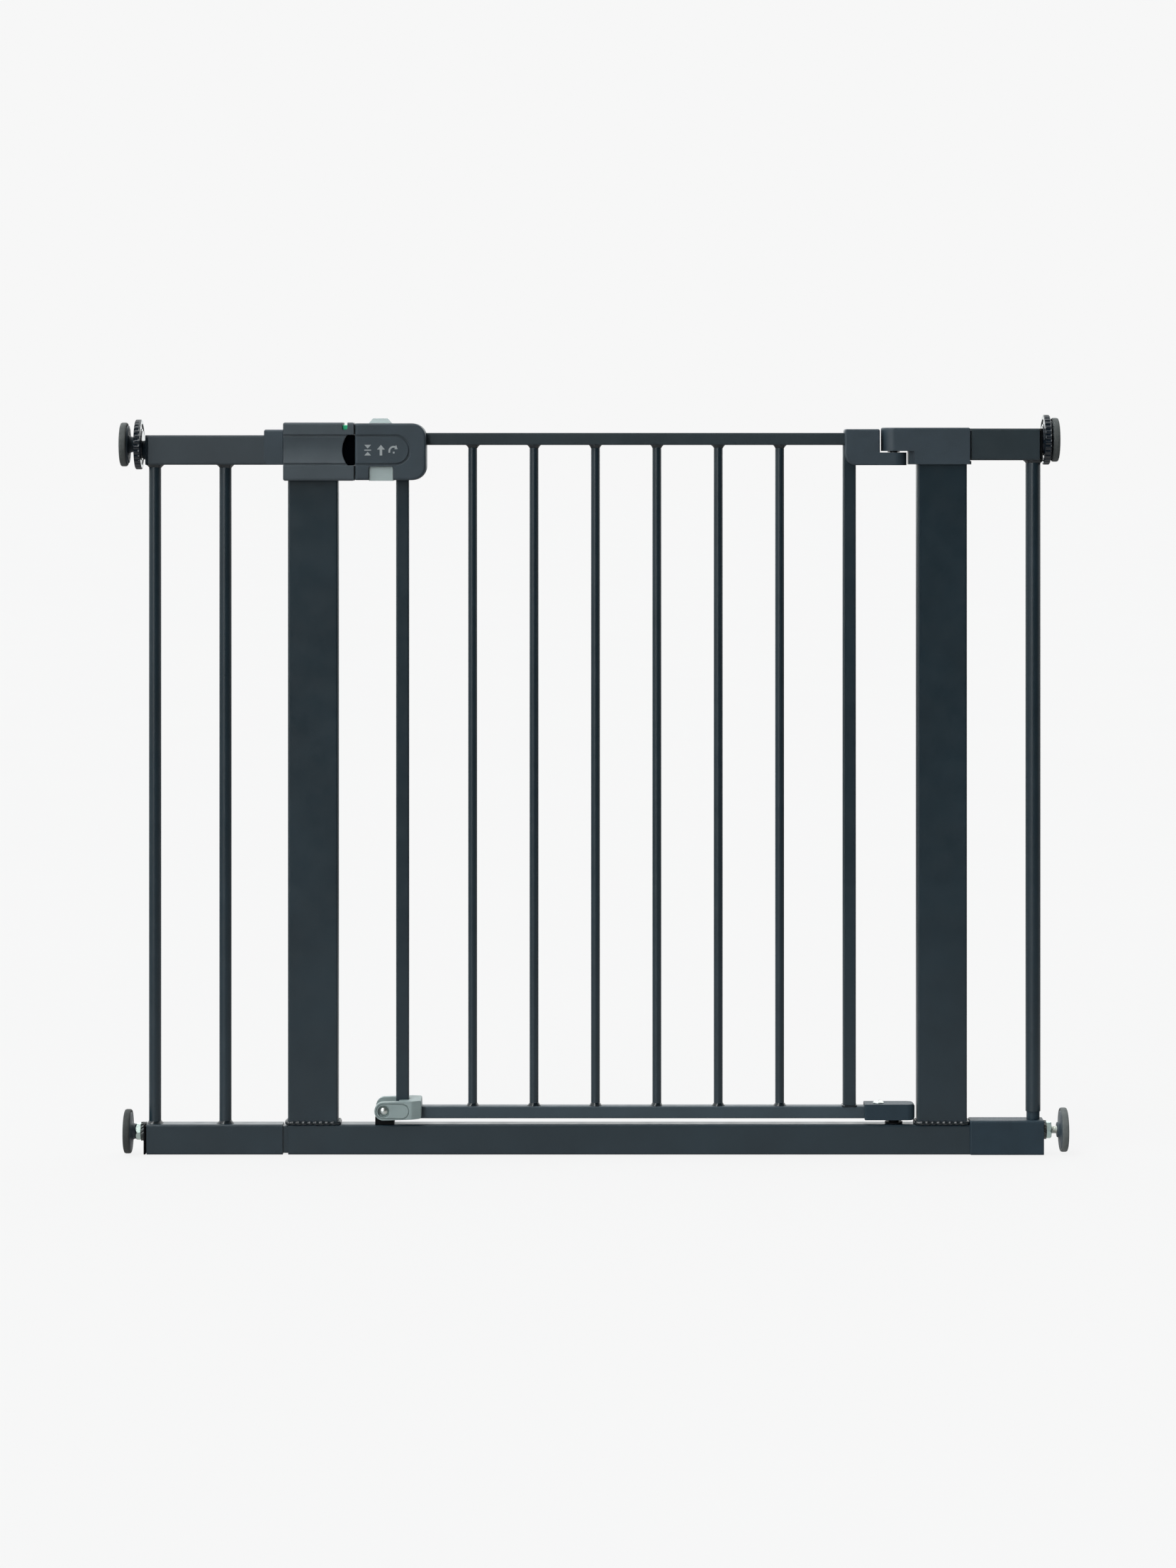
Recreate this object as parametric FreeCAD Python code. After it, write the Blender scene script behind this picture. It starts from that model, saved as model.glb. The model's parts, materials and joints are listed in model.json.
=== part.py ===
"""Pressure-fit stair gate with a two-button latch, made of separate parts. Millimetres, +Z up.

X runs along the gate, from the latch side (-X) to the hinge side (+X). Y runs through the gate, with the
front at -Y. The origin is on the floor under the middle of the gate.
"""
import FreeCAD, Part

import math
import os

V = FreeCAD.Vector
X_AXIS, Y_AXIS, Z_AXIS = V(1, 0, 0), V(0, 1, 0), V(0, 0, 1)

# Steel frame
BASE_TOP = 31.0            # height of the threshold tube
BASE_Y = 10.0              # half depth of the threshold tube
BASE_X = (-311.8, 440.0)
POST_Y = 10.0              # half depth of the posts and the top tubes
LEFT_POST_X = (-312.1, -261.1)
RIGHT_POST_X = (329.8, 380.6)
POST_TOP = (701.5, 708.5)  # left post, right post
LEFT_TUBE_X = (-454.7, -302.0)
LEFT_TUBE_Z = (703.8, 734.1)
LEFT_BASE_X = (-456.4, -317.4)
RIGHT_JOINER_X = (347.0, 405.0)
RIGHT_TUBE_X = (385.0, 454.8)
RIGHT_TUBE_Z = (708.4, 741.0)
LEFT_BARS_X = (-448.5, -376.6)
LEFT_BAR_R = 6.2
RIGHT_BAR_X = 448.9
RIGHT_BAR_R = 7.6
SLEEVE_X = (383.5, 458.8)
SLEEVE_Y = 12.4
SLEEVE_TOP = 35.2
STEEL = 1.4                # tube wall
BOSS_R = 4.0               # screw bosses inside the housings
HEAD_R = 3.0               # counterbore for a housing screw's head
SHANK_HOLE_R = 1.5         # clearance hole for a housing screw
PILOT_R = 1.2              # hole that a housing screw cuts its thread in
SLIP = 0.2                 # clearance between parts that slide into each other
PAST = 1.0                 # how far cutting shapes run past the faces they cut
WIDE = 30.0                # half width of cutting shapes that span the whole gate in Y

# Door
RAIL_Y = 6.5               # half depth of the door's square tubes
TOP_RAIL_Z = (724.0, 736.5)
BOTTOM_RAIL_Z = (36.6, 49.0)
LATCH_STILE_X = (-201.9, -188.9)
HINGE_STILE_X = (254.5, 267.5)
BOTTOM_RAIL_END = 298.0
BAR_R = 4.55
BAR_FIRST_X = -123.9
BAR_PITCH = 62.76
BAR_COUNT = 6

# Hinges
HINGE_X = 306.5            # the swing axis
KNUCKLE_R = 13.1
KNUCKLE_GAP_Z = (716.5, 717.9)
BRACKET_X = (256.0, 291.6)
BRACKET_Z = (703.4, 740.3)
CAP_RIGHT = SLEEVE_X[0]
CAP_Z = (704.3, 741.8)
PIN_R = 4.0
PIN_Z = (705.5, 736.0)
PEG_R = 5.4
PEG_TOP = 47.5
LOWER_CAP_X = (276.2, 327.6)
LOWER_CAP_Y = 11.5
LOWER_CAP_Z = (35.6, 51.6)
LOWER_SCREW_X = 290.8
LOWER_SCREW_R = 2.0
LIFT_SHIFT = 7.6           # how far the lower cap moves along its slot while the door is lifted

# Catch on the left post
CATCH_X = (-316.3, -244.3)
CATCH_Z = (687.6, 747.0)
CATCH_Y = 19.0
CATCH_WALL = 2.4
MOUTH_Z = (703.2, 734.5)
COLLAR_X = (-336.2, -316.9)
COLLAR_Y = 12.6
COLLAR_Z = (704.1, 739.8)

# Latch on the door
LATCH_X = (-243.2, -171.0)
LATCH_Z = (688.2, 746.2)
LATCH_Y = 18.6
LATCH_WALL = 2.2
LATCH_CORNER = 14.5
PILL_END = -186.6          # right end of the raised panel
BUTTON_TRAVEL = 5.0
BOLT_TRAVEL = 8.0
RAMP = BUTTON_TRAVEL / BOLT_TRAVEL
TOP_BUTTON_X = (-229.3, -206.9)
BOTTOM_BUTTON_X = (-229.0, -204.5)
STEM_X = (-221.5, -214.5)
BOLT_X = (-251.2, -211.5)
BOLT_Z = (707.5, 724.0)
BOLT_Y = 6.0
BOLT_SPRING_X = (-235.6, -214.4)
TOP_BUTTON_Y = 9.0
TOP_FLANGE_Z = 740.4       # underside of the top button's flange
TOP_SPRING_Z = 726.2       # where the top button's spring stands
BOTTOM_BUTTON_Z = (687.6, 701.8)
BUTTON_GAP = 0.4
NOTCH_INSET = 0.4          # how far inside the bolt's edges its ramps start
FLAG_X = (-262.0, -250.4)
FLAG_Y = (-16.6, -8.0)
FLAG_Z = (739.2, 744.4)
FLAG_SPRING_X = -279.5     # where the flag's spring rests
WINDOW_X = (-256.1, -250.9)  # sight window over the flag
MIDDLE_IN_Y = -14.2        # inner face of the catch behind its middle channel
BAND_IN_Y = -16.9          # inner face of the catch behind its bands

# Foot lock
FOOT_AXIS = (-213.9, 46.0)
FOOT_R = 9.5
FOOT_X = (-223.4, -175.6)
FOOT_Y = 20.0
EAR_IN = 13.2
STUB_X = (-223.0, -203.9)
STUB_TOP = 40.4

# Wall pads on screwed spindles
SPINDLE_R = 3.9
PAD_R = 22.4
PAD_THICK = 7.8
UPPER_LEFT_Z, UPPER_RIGHT_Z = 724.6, 729.4
LOWER_LEFT_Z, LOWER_RIGHT_Z = 22.6, 24.2
WHEEL_R = 25.4
WHEEL_HUB_R = 14.0
WHEEL_HUB = 0.8            # how far the hub stands out towards the tube
WHEEL_RIM = 6.6
WHEEL_RIBS = 30
WHEEL_SEAT = {"left": 460.8, "right": 458.0}
NUT_FLATS = 15.8
NUT_HIGH = 4.9
WASHER_R = 9.6
WASHER_HIGH = 3.2
WASHER_TEETH = 14

NODES = {}


def box(x, y, z):
    """Box between three (low, high) pairs."""
    return Part.makeBox(x[1] - x[0], y[1] - y[0], z[1] - z[0], V(x[0], y[0], z[0]))


def sym(half):
    return (-half, half)


def cyl(start, axis, radius, length):
    return Part.makeCylinder(radius, length, V(*start), axis)


def join(first, *others):
    shape = first
    for other in others:
        shape = shape.fuse(other)
    return shape.removeSplitter()


def rect(u, v, radius=0.0):
    """Corners of a rectangle for slab, all with one radius."""
    return [(u[0], v[0], radius), (u[1], v[0], radius), (u[1], v[1], radius), (u[0], v[1], radius)]


def slab(plane, corners, low, high):
    """Extrude a closed outline of (u, v, corner radius) points, drawn in plane xy, xz or yz."""
    along = {"xy": Z_AXIS, "xz": Y_AXIS, "yz": X_AXIS}[plane]
    count = len(corners)

    def put(point):
        u, v = point.x, point.y
        return {"xy": V(u, v, low), "xz": V(u, low, v), "yz": V(low, u, v)}[plane]

    stretches = []
    for i, (u, v, radius) in enumerate(corners):
        here = V(u, v, 0)
        back = (V(*corners[i - 1][:2], 0) - here).normalize()
        ahead = (V(*corners[(i + 1) % count][:2], 0) - here).normalize()
        half = back.getAngle(ahead) / 2
        cut = radius / math.tan(half)
        middle = here + (back + ahead).normalize() * (radius / math.sin(half) - radius)
        stretches.append((here + back * cut, middle, here + ahead * cut, radius))
    edges = []
    for i, (start, middle, end, radius) in enumerate(stretches):
        if radius > 0:
            edges.append(Part.Arc(put(start), put(middle), put(end)).toShape())
        following = stretches[(i + 1) % count][0]
        if (following - end).Length > 1e-6:
            edges.append(Part.LineSegment(put(end), put(following)).toShape())
    return Part.Face(Part.Wire(edges)).extrude(along * (high - low))


def tube(plane, u, v, low, high, radius, wall):
    """Rectangular tube with rounded edges."""
    hole_u = (u[0] + wall, u[1] - wall)
    hole_v = (v[0] + wall, v[1] - wall)
    hole = slab(plane, rect(hole_u, hole_v, max(radius - wall, 0.6)), low - PAST, high + PAST)
    return slab(plane, rect(u, v, radius), low, high).cut(hole)


def soften(shape, radius, chosen):
    """Round the edges whose bounding box passes the test."""
    edges = [edge for edge in shape.Edges if chosen(edge.BoundBox)]
    return shape.makeFillet(radius, edges)


def near(a, b):
    return abs(a - b) < 1e-3


def coil(seat, axis, radius, wire, gap, turns):
    """Helical spring of round wire in a gap along axis, just clear of both of its ends."""
    margin = wire + 0.05
    length = gap - 2 * margin
    start = V(*seat) + axis * margin
    helix = Part.makeHelix(length / turns, length, radius)
    profile = Part.Wire(Part.makeCircle(wire, V(radius, 0, 0), Y_AXIS))
    spring = Part.Wire(helix.Edges).makePipeShell([profile], True, True)
    spring.Placement = FreeCAD.Placement(start, FreeCAD.Rotation(Z_AXIS, axis))
    return spring


def hexagon(start, axis, flats, length, chamfered=False):
    """Hexagonal prism from start along axis; chamfered rounds off the corners of its far end."""
    angles = [math.radians(60 * i + 30) for i in range(7)]
    points = [V(math.cos(angle), math.sin(angle), 0) * (flats / math.sqrt(3)) for angle in angles]
    prism = Part.Face(Part.makePolygon(points)).extrude(V(0, 0, length))
    if chamfered:
        straight = length - 2.0
        cone = Part.makeCone(flats / 2 + 1.6, flats / 2 - 0.6, 2.6, V(0, 0, straight))
        prism = prism.common(Part.makeCylinder(flats, straight).fuse(cone))
    prism.Placement = FreeCAD.Placement(V(*start), FreeCAD.Rotation(Z_AXIS, axis))
    return prism


def pan_screw(start, axis, head_r, head_h, shank_r, length, plain=False):
    """Domed screw, cross-slotted unless plain, standing at start with its shank back against the axis."""
    dome_r = head_r * 1.45
    dome = Part.makeSphere(dome_r, V(*start) - axis * (dome_r - head_h))
    head = cyl(start, axis, head_r, head_h).common(dome)
    shank = cyl(V(*start) - axis * length, axis, shank_r, length + 0.2)
    if plain:
        return join(head, shank)
    cross_long, cross_wide, cross_deep = head_r * 1.1, 1.1, 0.9
    bar = box(sym(cross_long / 2), sym(cross_wide / 2), (0, cross_deep + PAST))
    cross = bar.fuse(bar.rotated(V(0, 0, 0), Z_AXIS, 90))
    floor = V(*start) + axis * (head_h - cross_deep)
    cross.Placement = FreeCAD.Placement(floor, FreeCAD.Rotation(Z_AXIS, axis))
    return head.fuse(shank).cut(cross).removeSplitter()


# ---------------------------------------------------------------- fixed frame

def steel_frame():
    base_z = (0.0, BASE_TOP)
    NODES["base_tube"] = tube("yz", sym(BASE_Y), base_z, *BASE_X, 2.5, STEEL)
    NODES["left_post"] = tube("xy", LEFT_POST_X, sym(POST_Y), BASE_TOP, POST_TOP[0], 2.0, STEEL)
    NODES["right_post"] = tube("xy", RIGHT_POST_X, sym(POST_Y), BASE_TOP, POST_TOP[1], 2.0, STEEL)
    NODES["left_ext_top_tube"] = tube("yz", sym(POST_Y), LEFT_TUBE_Z, *LEFT_TUBE_X, 2.0, STEEL)
    NODES["left_ext_base_tube"] = tube("yz", sym(BASE_Y), base_z, *LEFT_BASE_X, 2.5, STEEL)
    bar_long = LEFT_TUBE_Z[0] - BASE_TOP
    bars = [cyl((x, 0, BASE_TOP), Z_AXIS, LEFT_BAR_R, bar_long) for x in LEFT_BARS_X]
    NODES["left_ext_bars"] = Part.makeCompound(bars)
    inner = STEEL + SLIP
    joiner_x = (BASE_X[0] - 33, BASE_X[0] + 28)
    joiner_z = (inner, BASE_TOP - inner)
    NODES["left_base_joiner"] = tube("yz", sym(BASE_Y - inner), joiner_z, *joiner_x, 1.5, STEEL)
    NODES["right_ext_top_tube"] = tube("yz", sym(POST_Y), RIGHT_TUBE_Z, *RIGHT_TUBE_X, 2.0, STEEL)
    joiner_z = (RIGHT_TUBE_Z[0] + inner, RIGHT_TUBE_Z[1] - inner)
    NODES["right_top_joiner"] = tube("yz", sym(POST_Y - inner), joiner_z, *RIGHT_JOINER_X, 1.5, STEEL)
    # The right bar is a tube that stands on a plug in the sleeve
    bar_low, bar_wall = 43.5, 1.2
    height = RIGHT_TUBE_Z[0] - bar_low
    bore = cyl((RIGHT_BAR_X, 0, bar_low - PAST), Z_AXIS, RIGHT_BAR_R - bar_wall, height)
    NODES["right_ext_bar"] = cyl((RIGHT_BAR_X, 0, bar_low), Z_AXIS, RIGHT_BAR_R, height).cut(bore)
    collar = cyl((RIGHT_BAR_X, 0, SLEEVE_TOP), Z_AXIS, 6.7, bar_low - SLEEVE_TOP)
    peg = cyl((RIGHT_BAR_X, 0, bar_low), Z_AXIS, RIGHT_BAR_R - bar_wall - SLIP, 22.0)
    NODES["right_ext_bar_plug"] = join(collar, peg)


def end_caps():
    """Moulded plugs in the open ends of the extension tubes, each drilled for its spindle."""
    neck, flange, reach = 1.3, 2.9, 12.0
    inset = STEEL + SLIP

    def plug(tube_z, half_y, end_x, side, spindle_z, boss=0.0):
        hole_y, hole_z = sym(half_y - inset), (tube_z[0] + inset, tube_z[1] - inset)
        outer = sorted((end_x + side * neck, end_x + side * flange))
        inner = sorted((end_x + side * neck, end_x - side * reach))
        cap = slab("yz", rect(sym(half_y), tube_z, 2.5), *outer)
        cap = join(cap, slab("yz", rect(hole_y, hole_z, 1.0), *inner))
        if boss:
            start = V(end_x + side * flange, 0, sum(tube_z) / 2)
            cap = join(cap, Part.makeCone(half_y, half_y - 0.5, boss, start, X_AXIS * side))
        return cap.cut(cyl((end_x - 20, 0, spindle_z), X_AXIS, SPINDLE_R + SLIP, 40))

    boss = WHEEL_SEAT["left"] - SLIP + LEFT_TUBE_X[0] - flange
    NODES["left_top_end_cap"] = plug(LEFT_TUBE_Z, POST_Y, LEFT_TUBE_X[0], -1, UPPER_LEFT_Z, boss)
    NODES["left_base_end_cap"] = plug((0.0, BASE_TOP), BASE_Y, LEFT_BASE_X[0], -1, LOWER_LEFT_Z)
    NODES["right_top_end_cap"] = plug(RIGHT_TUBE_Z, POST_Y, RIGHT_TUBE_X[1], 1, UPPER_RIGHT_Z)

    sleeve = slab("yz", rect(sym(SLEEVE_Y), (0.0, SLEEVE_TOP), 2.5), *SLEEVE_X)
    sleeve_end = 3.8
    channel_x = (SLEEVE_X[0] - PAST, SLEEVE_X[1] - sleeve_end)
    channel = box(channel_x, sym(BASE_Y + SLIP), (-PAST, BASE_TOP + SLIP))
    sleeve = sleeve.cut(channel).cut(cyl((SLEEVE_X[1] - 20, 0, LOWER_RIGHT_Z), X_AXIS, SPINDLE_R + SLIP, 40))
    sleeve = soften(sleeve, 1.5, lambda b: near(b.XMax, SLEEVE_X[0]) and near(b.ZMin, SLEEVE_TOP))
    NODES["right_base_sleeve"] = sleeve

    # Saddle over the left top tube, beside the catch
    low, high = COLLAR_Z
    (left, right), half = COLLAR_X, COLLAR_Y
    section = [(-half, low, 0), (half, low, 0), (half, high, 2.5), (-half, high, 2.5)]
    outline = [(left, low, 6.0), (right, low, 0), (right, high, 0), (left, high, 2.0)]
    saddle = slab("yz", section, left, right).common(slab("xz", outline, *sym(WIDE)))
    tunnel_z = (low - PAST, LEFT_TUBE_Z[1] + SLIP)
    NODES["left_collar"] = saddle.cut(box((left - PAST, right + PAST), sym(POST_Y + SLIP), tunnel_z))


def floor_fittings():
    flange = cyl((HINGE_X, 0, BASE_TOP), Z_AXIS, 9.0, 1.8)
    peg = cyl((HINGE_X, 0, BASE_TOP), Z_AXIS, PEG_R, PEG_TOP - BASE_TOP)
    peg = soften(join(flange, peg), 1.2, lambda b: near(b.ZMin, PEG_TOP) and near(b.ZMax, PEG_TOP))
    NODES["lower_hinge_peg"] = peg
    (left, right), bevel = STUB_X, 3.2
    outline = [(left, BASE_TOP, 0), (right, BASE_TOP, 0), (right, STUB_TOP - bevel, 0.5),
               (right - bevel, STUB_TOP, 1.0), (left, STUB_TOP, 2.0)]
    NODES["lower_latch_stub"] = slab("xz", outline, *sym(BASE_Y))


# ---------------------------------------------------------------- catch on the left post

def catch_half():
    """Front half of the catch, with the bands, the arc-ended mouth and the flag window."""
    (left, right), (low, high) = CATCH_X, CATCH_Z
    band_low, band_high = MOUTH_Z
    face, groove, channel = -CATCH_Y, -17.4, -18.3
    groove_high = 2.2
    body = slab("yz", [
        (0, low, 0), (0, high, 0), (face, high, 2.5), (face, band_high, 0.4), (groove, band_high, 0),
        (groove, band_high - groove_high, 0), (channel, band_high - groove_high, 0.3),
        (channel, band_low + groove_high, 0.3), (groove, band_low + groove_high, 0), (groove, band_low, 0),
        (face, band_low, 0.4), (face, low, 2.5),
    ], left, right)
    hollow_r, hollow_depth = 52.0, 1.7
    middle = sum(MOUTH_Z) / 2
    body = body.cut(cyl((left - PAST, channel - hollow_r + hollow_depth, middle), X_AXIS, hollow_r, 80))
    body = body.common(slab("xz", rect(CATCH_X, CATCH_Z, 2.0), *sym(WIDE)))

    # Hollow inside, thinner behind the bands
    inside_x = (left + CATCH_WALL, right - CATCH_WALL)
    inside_z = (low + CATCH_WALL, high - CATCH_WALL)
    body = body.cut(box(inside_x, (MIDDLE_IN_Y, PAST), inside_z))
    body = body.cut(box(inside_x, (BAND_IN_Y, PAST), (737.0, inside_z[1])))
    body = body.cut(box(inside_x, (BAND_IN_Y, PAST), (inside_z[0], 701.0)))

    # Ways in for the top tube, the post and the bolt
    way_y = (-POST_Y - SLIP, PAST)
    tube_z = (LEFT_TUBE_Z[0] - SLIP, LEFT_TUBE_Z[1] + SLIP)
    body = body.cut(box((left - PAST, inside_x[0] + PAST), way_y, tube_z))
    post_x = (LEFT_POST_X[0] - SLIP, LEFT_POST_X[1] + SLIP)
    body = body.cut(box(post_x, way_y, (low - PAST, inside_z[0] + PAST)))
    body = body.cut(box((inside_x[1] - PAST, right + PAST), (MIDDLE_IN_Y, PAST), MOUTH_Z))
    mouth_r, mouth_left = 24.9, -256.3
    mouth_y = (-WIDE, MIDDLE_IN_Y)
    mouth = cyl((mouth_left + mouth_r, -WIDE, middle), Y_AXIS, mouth_r, 2 * WIDE)
    body = body.cut(mouth.common(box((mouth_left - PAST, right + PAST), mouth_y, MOUTH_Z)))

    # Sight window over the flag
    sill = FLAG_Z[0] + 0.1
    window = [(WINDOW_X[0], high + PAST, 0), (WINDOW_X[0], sill, 2.0), (WINDOW_X[1], sill, 2.0),
              (WINDOW_X[1], high + PAST, 0)]
    return body.cut(slab("xz", window, -WIDE, PAST))


def catch():
    front = catch_half()
    rear = front.mirror(V(0, 0, 0), Y_AXIS)
    places = [(-255.0, 695.0), (-308.5, 740.2)]
    bore_y, boss_y = 14.6, CATCH_Y - 1.5
    for x, z in places:
        rear = rear.fuse(cyl((x, 0, z), Y_AXIS, BOSS_R, boss_y))
        rear = rear.cut(cyl((x, bore_y, z), Y_AXIS, HEAD_R, 10))
        rear = rear.cut(cyl((x, -PAST, z), Y_AXIS, SHANK_HOLE_R, WIDE))
        front = front.fuse(cyl((x, -boss_y, z), Y_AXIS, BOSS_R, boss_y))
        front = front.cut(cyl((x, -11.0, z), Y_AXIS, PILOT_R, 12))
    # Shelf that the flag slides on, with the seat of its spring
    shelf_x = (-282.0, CATCH_X[1] - CATCH_WALL)
    shelf_z = (736.4, FLAG_Z[0] - 0.3)
    front = front.fuse(box(shelf_x, (BAND_IN_Y, 0), shelf_z))
    seat_z = (shelf_z[0], CATCH_Z[1] - CATCH_WALL)
    front = front.fuse(box((shelf_x[0], FLAG_SPRING_X), (BAND_IN_Y, 0), seat_z))
    slot_x = (CATCH_X[1] - CATCH_WALL - PAST, CATCH_X[1] + PAST)
    front = front.cut(box(slot_x, (FLAG_Y[0] - 0.3, FLAG_Y[1] + 0.4), (shelf_z[1], FLAG_Z[1] + 0.3)))
    NODES["catch_front_shell"] = front.removeSplitter()
    NODES["catch_rear_shell"] = rear.removeSplitter()
    screws = [pan_screw((x, bore_y, z), Y_AXIS, 2.8, 1.8, PILOT_R, 22.0) for x, z in places]
    NODES["catch_screws"] = Part.makeCompound(screws)

    # Liner that the bolt's nose drops into
    pocket_x = (-258.5, CATCH_X[1])
    liner_x = (pocket_x[0] - 3.0, CATCH_X[1] - 0.2)
    block = slab("xz", rect(liner_x, (MOUTH_Z[0] + 0.1, MOUTH_Z[1] - 0.1), 1.0), *sym(14.0))
    pocket = box((pocket_x[0], pocket_x[1] + PAST), sym(8.0), (705.4, 732.3))
    NODES["catch_liner"] = block.cut(pocket)

    flag = slab("yz", rect(FLAG_Y, FLAG_Z, 1.2), *FLAG_X)
    tail = box((FLAG_X[0] - 4.0, FLAG_X[0]), (-14.0, -10.6), (FLAG_Z[0] + 0.6, FLAG_Z[1] - 0.6))
    NODES["indicator_flag"] = join(flag, tail)
    NODES["indicator_spring"] = coil((FLAG_SPRING_X, -12.3, 741.8), X_AXIS, 1.7, 0.3, 13.5, 9)


# ---------------------------------------------------------------- door

def door_frame():
    outer_x = (LATCH_STILE_X[0], HINGE_STILE_X[1])
    NODES["gate_top_rail"] = tube("yz", sym(RAIL_Y), TOP_RAIL_Z, *outer_x, 1.5, STEEL)
    bottom = tube("yz", sym(RAIL_Y), BOTTOM_RAIL_Z, LATCH_STILE_X[0], BOTTOM_RAIL_END, 1.5, STEEL)
    NODES["gate_bottom_rail"] = bottom.cut(cyl((LOWER_SCREW_X, 0, 30), Z_AXIS, LOWER_SCREW_R + 0.1, 30))
    span = (BOTTOM_RAIL_Z[1], TOP_RAIL_Z[0])
    NODES["gate_latch_stile"] = tube("xy", LATCH_STILE_X, sym(RAIL_Y), *span, 1.5, STEEL)
    NODES["gate_hinge_stile"] = tube("xy", HINGE_STILE_X, sym(RAIL_Y), *span, 1.5, STEEL)
    places = [BAR_FIRST_X + i * BAR_PITCH for i in range(BAR_COUNT)]
    bars = [cyl((x, 0, span[0]), Z_AXIS, BAR_R, span[1] - span[0]) for x in places]
    NODES["gate_bars"] = Part.makeCompound(bars)


def upper_hinge():
    """Bracket on the door and cap on the post, whose knuckles share a pin."""
    gap_low, gap_high = KNUCKLE_GAP_Z
    depth = sym(KNUCKLE_R)

    # Bracket, with the lower knuckle
    (left, right), (low, high) = BRACKET_X, BRACKET_Z
    outline = [(left, low, 11.0), (right, low, 0), (right, high, 2.0), (left, high, 2.0)]
    body = soften(slab("xz", outline, *depth), 1.6, lambda b: near(b.YMin, b.YMax) and b.XMin < right - 1)
    arm = box((right - 4, HINGE_X), depth, (low, gap_low))
    knuckle = cyl((HINGE_X, 0, low), Z_AXIS, KNUCKLE_R, gap_low - low)
    shape = join(body, arm, knuckle).cut(cyl((HINGE_X, 0, PIN_Z[0]), Z_AXIS, PIN_R + SLIP, 40))
    rail_y, rail_low = sym(RAIL_Y + SLIP), TOP_RAIL_Z[0] - SLIP
    shape = shape.cut(box((left - PAST, HINGE_STILE_X[1] + SLIP), rail_y, (rail_low, TOP_RAIL_Z[1] + SLIP)))
    stile_x = (HINGE_STILE_X[0] - PAST, HINGE_STILE_X[1] + SLIP)
    NODES["upper_hinge_bracket"] = shape.cut(box(stile_x, rail_y, (low - PAST, rail_low + PAST)))

    # Cap, with the upper knuckle and a step beside the lower one
    (low, high), step_x, body_x = CAP_Z, 321.3, 326.5
    arm = join(box((HINGE_X, CAP_RIGHT), depth, (gap_high, high)),
               cyl((HINGE_X, 0, gap_high), Z_AXIS, KNUCKLE_R, high - gap_high))
    lower = box((body_x, CAP_RIGHT), depth, (low, gap_high))
    step = box((step_x, body_x), sym(9.5), (low, gap_high))
    cap = soften(join(arm, lower, step), 1.8, lambda b: near(b.ZMin, high) and near(b.ZMax, high))
    lip = box((CAP_RIGHT, CAP_RIGHT + 1.3), sym(11.0), (low, low + 3.4))
    cap = join(cap, lip)
    post_x = (RIGHT_POST_X[0] - SLIP, RIGHT_POST_X[1] + SLIP)
    cap = cap.cut(box(post_x, sym(POST_Y + SLIP), (low - PAST, POST_TOP[1] + SLIP)))
    socket_z = (RIGHT_TUBE_Z[0] + STEEL, RIGHT_TUBE_Z[1] - STEEL)
    socket_x = (RIGHT_JOINER_X[0] - SLIP, CAP_RIGHT + 2)
    cap = cap.cut(box(socket_x, sym(POST_Y - STEEL), socket_z))
    bore = cyl((HINGE_X, 0, gap_high - PAST), Z_AXIS, PIN_R + 0.06, PIN_Z[1] + 0.1 - gap_high + PAST)
    NODES["upper_hinge_cap"] = cap.cut(bore)

    pin = cyl((HINGE_X, 0, PIN_Z[0] + 0.1), Z_AXIS, PIN_R, PIN_Z[1] - PIN_Z[0] - 0.2)
    NODES["upper_hinge_pin"] = soften(pin, 0.6, lambda b: near(b.ZMin, b.ZMax))
    washer = cyl((HINGE_X, 0, gap_low + 0.25), Z_AXIS, 6.2, gap_high - gap_low - 0.35)
    NODES["hinge_washer"] = washer.cut(cyl((HINGE_X, 0, gap_low), Z_AXIS, PIN_R + 0.05, 3))


def lower_hinge():
    """Cap over the end of the bottom rail, with a slot that drops over the peg, and its screw."""
    (left, right), (low, high), half = LOWER_CAP_X, LOWER_CAP_Z, LOWER_CAP_Y
    plan = [(left, -half, 1.2), (right, -half, 8.5), (right, half, 8.5), (left, half, 1.2)]
    front = [(left, low, 0.8), (right, low, 3.5), (right, high, 3.0), (left, high, 0.8)]
    shape = slab("xy", plan, low, high).common(slab("xz", front, *sym(WIDE)))
    rail_x, rail_z = (left - PAST, BOTTOM_RAIL_END + SLIP), (low - PAST, BOTTOM_RAIL_Z[1] + SLIP)
    shape = shape.cut(box(rail_x, sym(RAIL_Y + SLIP), rail_z))
    slot_x, slot_r = (HINGE_X, HINGE_X + LIFT_SHIFT), PEG_R + 0.35
    slot_low, slot_high = low - PAST, PEG_TOP + 0.6
    ends = [cyl((x, 0, slot_low), Z_AXIS, slot_r, slot_high - slot_low) for x in slot_x]
    shape = shape.cut(join(box(slot_x, sym(slot_r), (slot_low, slot_high)), *ends))
    NODES["lower_hinge_cap"] = shape.cut(cyl((LOWER_SCREW_X, 0, 40), Z_AXIS, LOWER_SCREW_R + 0.1, 20))
    NODES["lower_hinge_screw"] = pan_screw((LOWER_SCREW_X, 0, high), Z_AXIS, 5.6, 2.9, LOWER_SCREW_R, 12.0)


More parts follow.
